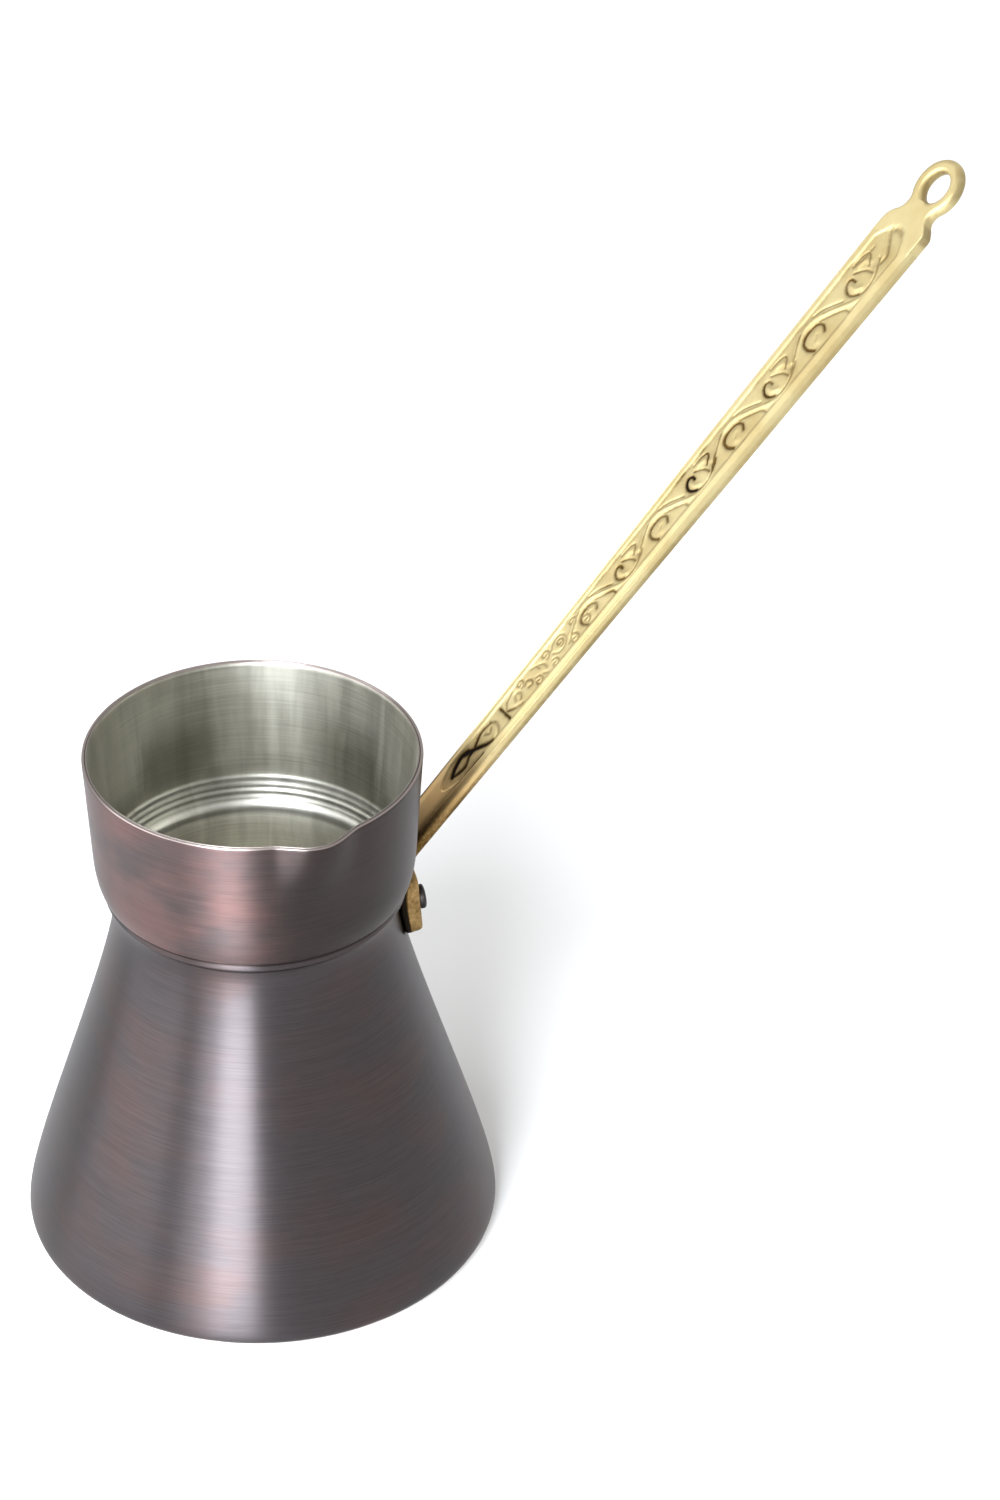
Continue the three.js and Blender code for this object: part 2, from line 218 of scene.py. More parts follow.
def innerRipple(depth):
    return sum(height * bump(depth, at, width) for at, height, width in insideRings)


def spoutPush(x, y, depth):
    turn = math.atan2(y, x) - math.radians(spout["angle"])
    turn = math.atan2(math.sin(turn), math.cos(turn))
    across = abs(turn) / math.radians(spout["halfAngle"])
    down = depth / spout["drop"]
    if across >= 1 or down >= 1:
        return 0.0
    ridge = math.cos(math.pi / 2 * across) ** spout["fullness"]
    return spout["reach"] * ridge * math.cos(math.pi / 2 * max(0.0, down)) ** 2


def pressSpout(bm):
    for v in bm.verts:
        r = math.hypot(v.co.x, v.co.y)
        push = spoutPush(v.co.x, v.co.y, wall["height"] - v.co.z / mm) * mm
        if push > 0:
            v.co.x *= 1 + push / r
            v.co.y *= 1 + push / r


def offsetPoint(station, inset, ripple):
    r, z, nr, nz = station[:4]
    return Vector((max(0.0, r - nr * (inset - ripple)), 0, z - nz * (inset - ripple))) * mm


# a turned wall: up the outside from the base, over a rounded lip and back down the inside
def makeShell(outer, outerInset, outerShape, inner, innerInset, innerShape, lipRound):
    down = [offsetPoint(s, outerInset, outerShape(s[4])) for s in outer]
    back = [offsetPoint(s, innerInset, -innerShape(s[4])) for s in inner]
    down[0] -= Vector((0, 0, lipRound * wall["outerLip"])) * mm
    back[0] -= Vector((0, 0, lipRound)) * mm
    top = wall["height"] * mm
    width = down[0].x - back[0].x
    crown = [Vector((down[0].x - across * width, 0, top - below * lipRound * mm))
             for across, below in lipShape]
    bm = bmesh.new()
    spinRound(bm, addChain(bm, list(reversed(down)) + crown + back), wall["ringSteps"])
    pressSpout(bm)
    return bm


def liningOuterShape(depth):
    return -innerRipple(depth)


fine = wallStations(wall["fineSteps"])
plain = wallStations(wall["plainSteps"])

potShell = makeShell(fine, 0, outerRipple, plain, wall["copper"], innerRipple, wall["copperLip"])
pot = finishPiece("spunCopperPot", potShell, "pot_body", wall["smoothAngle"])
print("pot spun")

liningShell = makeShell(plain, wall["lining"], liningOuterShape, fine, wall["inside"], innerRipple,
                        wall["tinLip"])
lining = finishPiece("wipedTinLining", liningShell, "tin_lining", wall["smoothAngle"])
print("lining spun")

# The handle, in millimetres as in the CAD

foot = {
    "width": 23.0,
    "height": 12.5,
    "thick": 2.1,
    "curve": 42.0,  # the radius of its front, less its thickness
    "lean": 5.0,
    "corner": 1.6,
    "cornerSteps": 6,
    "topDepth": 31.6,
    "inner": 29.274,  # the radius of its back, on the pot's axis
    "rounding": 0.55,
    "roundingSteps": 4,
    "slices": 24,
    "depthCuts": (0.62, 0.85),  # cuts near its back
    "levelCuts": (-3.5, -6.5, -9.5),  # level cuts, below its top
    "gap": 0.1,  # between its back and the neck
    # darkened all over, and more towards its lower edge
    "frontDarkening": 0.84,
    "lowDarkening": 0.25,  # added towards its lower edge
    "lowFade": (0.45, 1.0),
    # painted shade, near black, on its back in the gap by the neck
    "backPaintedShade": 1.7,
    "backFade": (0.4, 0.27),
}
bar = {
    "rise": 47.9,
    "thick": 2.4,
    "root": 8.9,
    "tip": 13.8,
    "length": 156.0,
    "bend": 6.0,
    "start": -10.5,
    "carved": 11.0,  # where the fine steps of the carving start
    "shoulder": 153.0,  # where the shoulders start
    "edge": [(0, 0.7), (62, 0.62), (98, 0.3), (153, 0.25)],  # how far in the rounded sides reach
    "sideFullness": 0.9,
    "crown": [(0, 0.12), (70, 0.12), (100, 0.04)],  # how far the rails fall away to the sides
    "crownWidth": 2.2,
    "crownInset": 0.24,
    "crownStart": (-1, 6),
    "crownEnd": 152,
    "rootSteps": 36,
    "carvedSteps": 770,
    "shoulderSteps": 26,
    "eyeSteps": 44,
    "columns": (5, 12, 36),  # underside, side and upper face of each half
    # patina along the side's lower half, which is also painted shade
    "sidePatinaAndShade": [(-12, 0.9), (12, 0.85), (28, 0.45), (48, 0.5), (80, 0.42), (100, 0.22), (153, 0.16)],
    "lowerSide": (0.62, 0.45),  # turn round the side where its patina and painted shade start and where they are full
    "plainDirt": 0.1,
    "smoothAngle": 50,
}
eye = {
    "centre": 165.5,
    "radius": 6.2,
    "hole": 3.3,
    "rounding": 1.0,
    "joint": 51.0,  # degrees round the ring where the shoulders meet it
    "edge": 1.15,
    "dirt": 0.32,
    "dirtStart": (0.15, 0.4),
    "dirtEnd": (0.95, 0.7),
    "holeDirt": 0.5,  # how far round the hole its patina reaches
    "holeSearch": 1.5,  # how far round the hole its open edges are looked for
}
step = {  # the near shoulder's flat side face
    "edge": 0.3,
    "from": 0.2,
    "to": 0.62,
    "dirt": 0.42,
    "dirtStart": (0.12, 0.2),
    "dirtEnd": (0.72, 0.6),
    "dirtEdge": (0.98, 0.8),
}
rootPatinaAndShade = {  # patina and painted shade near the bar's root by the collar, none at the first distance and full at the second
    "along": (24, 4),
    "across": (-0.6, -3.2),
    "face": 0.9,
    "side": 0.85,
}
shoulders = {
    # outlines from the bar's end to the eye's ring, as cubic curves of distance along and half width
    -1: [((153.0, 6.81), (154.4, 6.86), (155.4, 6.9), (156.2, 6.9)),
         ((156.2, 6.9), (157.1, 6.9), (157.3, 6.6), (157.8, 6.1)),
         ((157.8, 6.1), (158.3, 5.6), (158.7, 5.15), (159.2, 4.68)),
         ((159.2, 4.68), (159.8, 4.2), (160.7, 4.2), (161.6, 4.82))],
    1: [((153.0, 6.81), (154.8, 6.9), (155.6, 6.75), (156.4, 6.35)),
        ((156.4, 6.35), (157.1, 5.95), (157.4, 5.6), (157.9, 5.15)),
        ((157.9, 5.15), (158.5, 4.65), (158.9, 4.4), (159.5, 4.35)),
        ((159.5, 4.35), (160.1, 4.3), (160.8, 4.2), (161.6, 4.82))],
}

rise = math.radians(bar["rise"])
lean = math.radians(foot["lean"])
bendTurn = math.pi / 2 + lean - rise
alongBar = Vector((math.cos(rise), 0, math.sin(rise)))
offBar = Vector((-alongBar.z, 0, alongBar.x))
footTop = wall["height"] - foot["topDepth"]
knee = Vector((foot["inner"] + foot["thick"] / 2, 0, footTop))
barStart = knee + alongBar * bar["bend"] * math.tan(bendTurn / 2)


# the middle of the handle at a distance along it, and the direction out of its upper face
def barFrame(s):
    if s >= 0:
        return barStart + alongBar * s, offBar
    turned = min(bendTurn, -s / bar["bend"])
    angle = rise + turned
    normal = Vector((-math.sin(angle), 0, math.cos(angle)))
    place = barStart - offBar * bar["bend"] + normal * bar["bend"]
    rest = -s - turned * bar["bend"]
    return place - Vector((math.cos(angle), 0, math.sin(angle))) * rest, normal


def halfWidth(s):
    share = np.clip(np.asarray(s, float), 0, bar["length"]) / bar["length"]
    return (bar["root"] + (bar["tip"] - bar["root"]) * share) / 2


# The carving on the upper face: smooth rails round a panel whose scroll is drawn by cut lines

panel = {
    "scrollMargin": 2.1,  # between the bar's side and the edge of the scroll
    "nearRail": 2.35,
    "farRail": 1.65,
    "start": 12.5,
    "end": 155.2,
    "taper": 4.5,
    "sink": 0.2,
    "wallFade": (-0.1, 0.5),
    "cutScale": 0.85,
    "liftScale": 0.85,
    "stain": 0.75,
    "groundDirt": 0.2,
    "dirtMargin": 0.2,
    "dirtFade": (-0.25, 0.1),
    "dirtStart": (-0.5, 3),
    "dirtEnd": 0.6,
}
scroll = {"first": 14.0, "last": 148.0, "bays": 12, "growth": 1.03, "firstFull": 4}
# how far from a line its cut is worked out, and how wide and strong its narrow and broad parts are
cutShape = {"reach": 2.5, "narrow": 0.56, "broad": 1.5, "depth": (0.8, 0.2), "dark": (0.85, 0.25), "rib": 0.5}

# cut lines of the two kinds of bay: points along the bay and across the panel, then width and depth in
# millimetres and how dark the patina in them is
crestBay = [
    ([(0.35, -0.66), (0.28, -0.26), (0.29, 0.14), (0.39, 0.38), (0.54, 0.43), (0.67, 0.32), (0.73, 0.02),
      (0.68, -0.32)], 0.62, 0.30, 1.0),
    ([(0.72, 0.36), (0.86, 0.10), (1.00, -0.20), (1.12, -0.50), (1.15, -0.84)], 0.40, 0.24, 0.7),
    ([(0.86, 0.46), (1.00, 0.20), (1.16, -0.16), (1.34, -0.56)], 0.30, 0.10, 0.3),
    ([(0.70, 0.88), (0.88, 0.68), (1.04, 0.34), (1.19, -0.04)], 0.40, 0.20, 0.6),
    ([(-0.14, -0.42), (0.04, 0.06), (0.20, 0.44), (0.37, 0.76)], 0.42, 0.22, 0.6),
    ([(0.30, -0.80), (0.44, -0.95), (0.62, -0.90)], 0.42, 0.14, 0.5),
    ([(0.48, -0.30), (0.56, -0.12)], 0.35, 0.08, 0.2),
]
troughBay = [
    ([(0.52, 0.16), (0.51, 0.42), (0.44, 0.52), (0.36, 0.38), (0.31, 0.05), (0.34, -0.28), (0.42, -0.54)],
     0.58, 0.30, 1.0),
    ([(0.60, 0.54), (0.70, 0.28), (0.77, -0.02), (0.80, -0.36)], 0.46, 0.24, 0.7),
    ([(0.40, -0.56), (0.52, -0.70), (0.66, -0.70), (0.80, -0.58), (0.93, -0.34), (1.03, -0.08)],
     0.42, 0.22, 0.6),
    ([(0.66, 0.88), (0.84, 0.84), (0.97, 0.68), (0.95, 0.42), (0.84, 0.14)], 0.40, 0.20, 0.7),
]
# the plaited buds near the root and the last leaf, in millimetres along and across
rootCuts = [
    ([(15.8, 0.3), (17.4, 1.4), (20.0, 2.1), (21.8, 1.6)], 0.8, 0.30, 1.1),
    ([(15.8, 0.3), (17.5, -0.5), (19.5, -0.7), (21.5, 0.6)], 0.6, 0.24, 0.7),
    ([(20.6, 1.9), (22.0, 1.1), (23.5, 0.2), (25.5, -1.2), (27.3, -2.1)], 0.8, 0.32, 1.2),
    ([(21.5, 0.5), (23.0, 0.6), (24.5, 1.5), (26.5, 2.3), (29.0, 2.0)], 0.6, 0.28, 1.0),
    ([(29.0, 2.0), (29.9, 0.9), (29.9, -0.6), (29.0, -1.9), (27.3, -2.1)], 0.5, 0.22, 0.6),
    ([(26.6, 0.9), (27.6, 0.0), (28.4, 0.8)], 0.5, 0.18, 0.6),
    ([(32.4, 2.3), (32.6, 0.4), (32.8, -1.9)], 0.6, 0.30, 0.9),
    ([(33.3, 0.5), (34.2, 1.9), (36.2, 2.8)], 0.5, 0.20, 0.5),
    ([(33.3, 0.1), (34.8, -1.0), (36.8, -1.9)], 0.6, 0.24, 0.8),
    ([(36.0, 0.2), (36.4, 1.3), (37.3, 1.4), (37.8, 0.4), (37.1, -0.6)], 0.6, 0.20, 0.6),
    ([(39.4, 1.1), (40.3, 1.5), (41.2, 0.6), (40.9, -0.4), (39.9, -0.2)], 0.6, 0.20, 0.5),
    ([(42.6, 2.6), (43.6, 2.1), (44.0, 0.9)], 0.5, 0.18, 0.5),
    ([(43.9, 1.9), (45.2, 0.8), (45.4, -0.6)], 0.5, 0.18, 0.5),
    ([(43.9, -1.0), (44.8, -1.9)], 0.5, 0.16, 0.5),
    ([(48.0, 1.6), (49.5, 2.7), (51.5, 2.6), (52.3, 1.2), (51.3, -0.4), (49.3, -0.7), (48.1, 0.4)],
     0.5, 0.18, 0.4),
    ([(2.0, -3.0), (8.0, -3.1), (16.0, -3.1), (24.0, -2.8)], 0.9, 0.26, 1.2),
]
tipCuts = [
    ([(147.6, -1.6), (149.5, -1.7), (151.0, -0.5), (153.0, 1.5), (154.2, 2.3)], 0.7, 0.24, 0.6),
    ([(154.3, 1.3), (154.8, 0.2), (154.5, -1.2)], 1.1, 0.22, 0.6),
    ([(143.6, 3.9), (146.0, 3.2), (149.0, 3.0)], 0.6, 0.16, 0.5),
]
# small curls that fill the panel above the buds: where, size and turn
curls = [
    (38.6, 2.2, 0.8, 1), (42.2, -1.2, 0.9, -1), (46.4, 1.9, 0.9, 1), (47.2, -1.6, 0.8, -1),
    (50.4, 0.9, 0.8, 1), (53.2, -1.4, 1.0, -1), (55.0, 2.0, 0.9, 1), (57.6, -0.6, 0.9, -1)]
curlPath = [(0.0, -1.2), (1.0, -0.7), (1.3, 0.4), (0.5, 1.2), (-0.5, 0.8), (-0.4, -0.1), (0.3, 0.1)]
curlCut = (0.45, 0.16, 0.6)
# fine cuts along the rails: side, start and end along the bar, offset from the scroll's edge, and the cut
railCuts = [(1, 54, 147, 0.3, (0.42, 0.14, 0.5)), (-1, 24, 136, -0.15, (0.42, 0.08, 0.16))]
railStep = 3
# raised lines of the two kinds of bay: points as in the cuts, then width and height in millimetres
stemPath = [
    (0.0, 0.0), (0.12, 0.28), (0.25, 0.55), (0.40, 0.72), (0.55, 0.75), (0.70, 0.64), (0.85, 0.38),
    (1.0, 0.04), (1.15, -0.32), (1.30, -0.64), (1.45, -0.85), (1.60, -0.88), (1.75, -0.74), (1.90, -0.34)]
crestRibs = [
    (stemPath, 1.25, 0.2),
    ([(0.48, -0.42), (0.52, -0.12), (0.56, 0.02)], 1.7, 0.14),
]
troughRibs = [
    ([(0.42, 0.2), (0.45, -0.2), (0.52, -0.4)], 1.0, 0.14),
    ([(0.74, 0.62), (0.86, 0.5), (0.9, 0.2)], 1.2, 0.14),
]
# where the patina is thick: distance along, reach and strength
stains = [
    (19, 11, 1.5), (33, 4, 1.2), (40, 5, 1.0), (50, 6, 0.9), (65, 3.5, 1.1), (70, 3, 1.0), (80, 3.5, 0.9),
    (91, 4, 1.5), (97, 3.5, 1.4), (102, 3, 1.0), (114, 3, 1.1), (127, 4, 1.0), (142, 4, 0.9)]


def scrollHalf(s):
    return halfWidth(s) - panel["scrollMargin"]


def bayEdges():
    shares = [scroll["growth"] ** i for i in range(scroll["bays"])]
    unit = (scroll["last"] - scroll["first"]) / sum(shares)
    edges = [scroll["first"]]
    for share in shares:
        edges.append(edges[-1] + unit * share)
    return edges


def easedValue(p, q, r, u, t):
    bend = (2 * p - 5 * q + 4 * r - u) * t * t
    turn = (3 * q - p - 3 * r + u) * t**3
    return 0.5 * (2 * q + (r - p) * t + bend + turn)


# a smooth line through a few points
def eased(points, per=5):
    pts = [points[0], *points, points[-1]]
    line = []
    for a, b, c, d in zip(pts, pts[1:], pts[2:], pts[3:]):
        for i in range(per):
            line.append(tuple(easedValue(*values, i / per) for values in zip(a, b, c, d)))
    return line + [points[-1]]


def inBay(points, edges, bay):
    start = edges[bay]
    length = edges[bay + 1] - start
    placed = []
    for u, v in points:
        s = start + u * length
        placed.append((s, v * float(scrollHalf(s))))
    return placed


# every cut line with its width, depth and patina, and the raised lines with their width and height
def scrollLines():
    edges = bayEdges()
    cuts = [(eased(points), *cut) for points, *cut in rootCuts + tipCuts]
    raised = []
    for s, t, size, turn in curls:
        placed = [(s + size * a, t + size * turn * b) for a, b in curlPath]
        cuts.append((eased(placed), *curlCut))
    for bay in range(scroll["firstFull"], scroll["bays"]):
        bayCuts, bayRibs = (troughBay, troughRibs) if bay % 2 else (crestBay, crestRibs)
        cuts += [(eased(inBay(points, edges, bay)), *cut) for points, *cut in bayCuts]
        raised += [(eased(inBay(points, edges, bay)), *rib) for points, *rib in bayRibs]
    for side, start, end, offset, cut in railCuts:
        line = [(s, side * (float(scrollHalf(s)) + offset)) for s in range(start, end, railStep)]
        cuts.append((line, *cut))
    return cuts, raised


def distanceTo(s, t, line):
    best = np.full(s.shape, 1e9)
    for (x0, y0), (x1, y1) in zip(line, line[1:]):
        dx, dy = x1 - x0, y1 - y0
        k = np.clip(((s - x0) * dx + (t - y0) * dy) / max(dx * dx + dy * dy, 1e-12), 0, 1)
        best = np.minimum(best, np.hypot(s - x0 - k * dx, t - y0 - k * dy))
    return best


# which points are near a line, and how far these are from it
def nearLine(s, t, line):
    ats = [p[0] for p in line]
    near = (s > min(ats) - cutShape["reach"]) & (s < max(ats) + cutShape["reach"])
    return near, distanceTo(s[near], t[near], line)


# how far the upper face lies below the rails in millimetres, and how much patina and painted shade each point
# holds
def carve(s, t):
    p, c = panel, cutShape
    half = halfWidth(s) - np.where(t < 0, p["nearRail"], p["farRail"])
    ends = np.clip(np.minimum(s - p["start"], p["end"] - s) / p["taper"], 0, 1) ** 0.5
    inside = smooth(*p["wallFade"], half * ends - np.abs(t)) * (ends > 0)
    within = smooth(*p["dirtFade"], half + p["dirtMargin"] - np.abs(t))
    within = within * smooth(*p["dirtStart"], s) * (s < p["end"] + p["dirtEnd"])
    stained = np.full(s.shape, p["stain"])
    for at, reach, strength in stains:
        stained = np.maximum(stained, strength * np.exp(-(((s - at) / reach) ** 2)))
    cutDepth, dark, lift = np.zeros(s.shape), np.zeros(s.shape), np.zeros(s.shape)
    cuts, raised = scrollLines()
    for line, width, depth, patina in cuts:
        near, d = nearLine(s, t, line)
        narrow = np.exp(-((d / (c["narrow"] * width)) ** 2))
        broad = np.exp(-((d / (c["broad"] * width)) ** 2))
        cut = c["depth"][0] * narrow + c["depth"][1] * broad
        cutDepth[near] = np.maximum(cutDepth[near], p["cutScale"] * depth * cut)
        dark[near] = np.maximum(dark[near], patina * (c["dark"][0] * narrow + c["dark"][1] * broad))
    for line, width, height in raised:
        near, d = nearLine(s, t, line)
        rib = np.exp(-((d / (c["rib"] * width)) ** 2))
        lift[near] = np.maximum(lift[near], p["liftScale"] * height * rib)
    depth = inside * (p["sink"] - lift) + within * cutDepth
    # patina and painted shade on the near half of the face by the root
    root = rootPatinaAndShade["face"] * smooth(*rootPatinaAndShade["along"], s) * smooth(*rootPatinaAndShade["across"], t)
    return depth, np.maximum(within * dark * stained + p["groundDirt"] * inside * stained, root)


# how far in the rounded side reaches at a station
def edgeAt(station, side):
    kind, u = station
    ats, reaches = zip(*bar["edge"])
    if kind == "bar":
        return float(np.interp(u, ats, reaches))
    if kind == "eye":
        return eye["edge"]
    last = reaches[-1]
    if side > 0:
        return last + (eye["edge"] - last) * u
    ats = [0, step["from"], step["to"], 1]
    return float(np.interp(u, ats, [last, step["edge"], step["edge"], eye["edge"]]))


# patina on the side, most on its lower half, where it is also painted shade, on the near shoulder's step and
# round the eye's near half
def sidePatinaAndShade(station, side, turn, s):
    kind, u = station
    if kind == "bar":
        ats, amounts = zip(*bar["sidePatinaAndShade"])
        # patina and painted shade on the side by the root
        root = rootPatinaAndShade["side"] * float(smooth(*rootPatinaAndShade["along"], s))
        return max(root, float(np.interp(s, ats, amounts)) * float(smooth(*bar["lowerSide"], turn)))
    if kind == "eye" and side < 0:
        return eye["dirt"] * float(smooth(*eye["dirtStart"], u)) * float(smooth(*eye["dirtEnd"], u))
    if kind == "shoulder" and side < 0:
        dirt = step["dirt"] * float(smooth(*step["dirtStart"], u)) * float(smooth(*step["dirtEnd"], u))
        return dirt * float(smooth(*step["dirtEdge"], turn))
    return bar["plainDirt"]


def outlineAt(station, side):
    kind, u = station
    if kind == "bar":
        return u, side * float(halfWidth(u))
    if kind == "shoulder":
        curves = shoulders[side]
        k = min(len(curves) - 1, int(u * len(curves)))
        s, t = bezier(*curves[k], u * len(curves) - k)
        return s, side * t
    angle = math.radians(eye["joint"] + (180 - eye["joint"]) * u)
    return eye["centre"] - eye["radius"] * math.cos(angle), side * eye["radius"] * math.sin(angle)


def middleAt(station, side):
    kind, u = station
    if kind == "bar":
        return u, 0.0
    opening = eye["centre"] - eye["hole"]
    if kind == "shoulder":
        return bar["shoulder"] + (opening - bar["shoulder"]) * u, 0.0
    angle = math.pi * u
    return eye["centre"] - eye["hole"] * math.cos(angle), side * eye["hole"] * math.sin(angle)


def barStations():
    start, carved, end = bar["start"], bar["carved"], bar["shoulder"]
    rootSteps, carvedSteps = bar["rootSteps"], bar["carvedSteps"]
    stations = [("bar", start + (carved - start) * i / rootSteps) for i in range(rootSteps)]
    stations += [("bar", carved + (end - carved) * i / carvedSteps) for i in range(carvedSteps)]
    stations += [("shoulder", i / bar["shoulderSteps"]) for i in range(bar["shoulderSteps"])]
    stations += [("eye", i / bar["eyeSteps"]) for i in range(bar["eyeSteps"] + 1)]
    return stations


# the direction into the bar at each point of its outline
def inwardDirections(edges, stations, side):
    inward = []
    for i, station in enumerate(stations):
        (s0, t0), (s1, t1) = edges[max(0, i - 1)], edges[min(len(edges) - 1, i + 1)]
        if station[0] == "eye":
            s0, t0, s1, t1 = 0, 0, side * edges[i][1], side * (eye["centre"] - edges[i][0])
        length = math.hypot(s1 - s0, t1 - t0)
        inward.append((side * (t1 - t0) / length, -side * (s1 - s0) / length))
    return inward


# One half of the bar: a grid whose rows run from the underside's middle round the side to the upper middle.
# At the eye the rows end on the hole's circle, so that the two halves leave it open between them.
def addBarHalf(bm, side):
    stations = barStations()
    under, around, over = bar["columns"]
    columns = under + around + over
    part = bmesh.new()
    bmesh.ops.create_grid(part, x_segments=len(stations) - 1, y_segments=columns, size=0.5)
    hollow = part.verts.layers.float.new("hollow")
    edges = [outlineAt(s, side) for s in stations]
    middles = [middleAt(s, side) for s in stations]
    inward = inwardDirections(edges, stations, side)
    widths = [edgeAt(station, side) for station in stations]
    verts = list(part.verts)
    rows = [round((v.co.x + 0.5) * (len(stations) - 1)) for v in verts]
    lines = [round((v.co.y + 0.5) * columns) for v in verts]
    half = bar["thick"] / 2
    spots = np.zeros((len(verts), 3))
    patina = np.zeros(len(verts))
    for k, (row, line) in enumerate(zip(rows, lines)):
        (es, et), (cs, ct), (ns, nt) = edges[row], middles[row], inward[row]
        innerS, innerT = es + ns * widths[row], et + nt * widths[row]
        if line <= under:
            share = line / under
            spots[k] = cs + (innerS - cs) * share, ct + (innerT - ct) * share, -half
        elif line <= under + around:
            turn = math.pi * (line - under) / around
            reach = widths[row] * (1 - math.sin(turn) ** bar["sideFullness"])
            spots[k] = es + ns * reach, et + nt * reach, -half * math.cos(turn)
            patina[k] = sidePatinaAndShade(stations[row], side, turn / math.pi, es)
        else:
            share = (line - under - around) / over
            spots[k] = innerS + (cs - innerS) * share, innerT + (ct - innerT) * share, half
        if stations[row][0] == "eye":
            gap = math.hypot(spots[k][0] - eye["centre"], spots[k][1]) - eye["hole"]
            patina[k] = max(patina[k], eye["dirt"] * float(smooth(eye["holeDirt"], 0.0, gap)))
            rounding = eye["rounding"]
            if gap < rounding:
                fall = rounding - math.sqrt(max(0, rounding ** 2 - (rounding - gap) ** 2))
                spots[k][2] *= 1 - fall / half
    top = np.array(lines) >= under + around
    s, t = spots[top, 0], spots[top, 1]
    depth, dark = carve(s, t)
    outward = 1 - smooth(0.0, bar["crownWidth"], halfWidth(s) - np.abs(t) - bar["crownInset"])
    crown = np.interp(s, *zip(*bar["crown"])) * outward
    spots[top, 2] -= depth + crown * (s < bar["crownEnd"]) * smooth(*bar["crownStart"], s)
    patina[top] = np.maximum(patina[top], dark)
    for k, v in enumerate(verts):
        place, normal = barFrame(spots[k][0])
        v.co = (place + normal * spots[k][2] + Vector((0, spots[k][1], 0))) * mm
        v[hollow] = patina[k]
    joinInto(bm, part)


def closeHole(bm):
    centre = (barStart + alongBar * eye["centre"]) * mm
    reach = (eye["hole"] + eye["holeSearch"]) * mm
    rim = [e for e in bm.edges if e.is_boundary and (e.verts[0].co - centre).length < reach]
    bmesh.ops.bridge_loops(bm, edges=rim)


def roundEdges(part, edges, offset, steps):
    bmesh.ops.bevel(part, geom=edges, offset=offset, offset_type="OFFSET", segments=steps,
                    profile=0.5, affect="EDGES", material=-1)


def slicePlate(part, where, across):
    geometry = list(part.verts) + list(part.edges) + list(part.faces)
    bmesh.ops.bisect_plane(part, geom=geometry, dist=1e-5, plane_co=where, plane_no=across)


# the curved foot: a plate with round corners, sliced and bent, its back on the neck's round
def addFoot(bm):
    f = foot
    part = bmesh.new()
    bmesh.ops.create_cube(part, size=1)
    bmesh.ops.scale(part, vec=(f["thick"], f["width"], f["height"]), verts=part.verts)
    bmesh.ops.translate(part, vec=(f["thick"] / 2, 0, -f["height"] / 2), verts=part.verts)
    corners = [e for e in part.edges if abs(e.verts[0].co.x - e.verts[1].co.x) > 0.5 * f["thick"]]
    roundEdges(part, corners, f["corner"], f["cornerSteps"])
    rims = [e for e in part.edges if abs(e.verts[0].co.x - e.verts[1].co.x) < 1e-6]
    roundEdges(part, rims, f["rounding"], f["roundingSteps"])
    for i in range(1, f["slices"]):
        slicePlate(part, (0, (i / f["slices"] - 0.5) * f["width"], 0), (0, 1, 0))
    for x in f["depthCuts"]:
        slicePlate(part, (x, 0, 0), (1, 0, 0))
    for z in f["levelCuts"]:
        slicePlate(part, (0, 0, z), (0, 0, 1))
    front = f["curve"] + f["thick"]
    hollow = part.verts.layers.float.new("hollow")
    heights, radii = [s[1] for s in reversed(fine)], [s[0] for s in reversed(fine)]
    for v in part.verts:
        # darker all over and towards the lower edge; near black painted shade on the back, in the gap by the
        # neck
        low = float(smooth(*f["lowFade"], -v.co.z / f["height"]))
        backward = float(smooth(*f["backFade"], v.co.x / f["thick"]))
        v[hollow] = max(f["frontDarkening"] + f["lowDarkening"] * low, f["backPaintedShade"] * backward)
        neck = float(np.interp(footTop + v.co.z * math.cos(lean), heights, radii))
        packed = f["inner"] - v.co.z * math.sin(lean) - neck - f["gap"]
        back = math.sqrt(f["inner"] ** 2 - v.co.y ** 2) - f["inner"] - packed
        face = math.sqrt(front ** 2 - v.co.y ** 2) - f["curve"]
        v.co.x = back + (face - back) * v.co.x / f["thick"]
    place = (Matrix.Translation(Vector((f["inner"], 0, footTop)) * mm)
             @ Matrix.Rotation(-lean, 4, "Y") @ Matrix.Scale(mm, 4))
    bmesh.ops.transform(part, matrix=place, verts=part.verts)
    bmesh.ops.recalc_face_normals(part, faces=part.faces)
    joinInto(bm, part)


def makeHandle():
    bm = bmesh.new()
    addBarHalf(bm, -1)
    addBarHalf(bm, 1)
    bmesh.ops.remove_doubles(bm, verts=bm.verts, dist=mergeDistance)
    closeHole(bm)
    bmesh.ops.holes_fill(bm, edges=[e for e in bm.edges if e.is_boundary], sides=0)
    bmesh.ops.recalc_face_normals(bm, faces=bm.faces)
    addFoot(bm)
    return bm


handle = finishPiece("castBrassHandle", makeHandle(), "handle", bar["smoothAngle"])
print("handle carved", len(handle.data.polygons))

# The rivets

rivet = {
    "spread": 8.5,
    "below": 5.9,
    "shank": 1.5,
    "head": 2.45,
    "height": 1.1,
    "inner": 2.6,  # the head inside the neck
    "gap": 0.3,
    "grip": 5.0,
    "dome": [(0, 0), (0.5, 0.02), (0.76, 0.08), (0.9, 0.2), (1, 0.45)],  # share of the radius, and drop
    "rim": [(0, 0.1), (-0.12, -0.25)],  # distance out from the head's radius and up from the gap
    "innerDome": [(1, 0), (1, 0.3), (0.8, 0.7), (0, 0.8)],
    "dent": 0.06,
    "dentScale": 900,
    "steps": 40,
    "smoothAngle": 35,
}


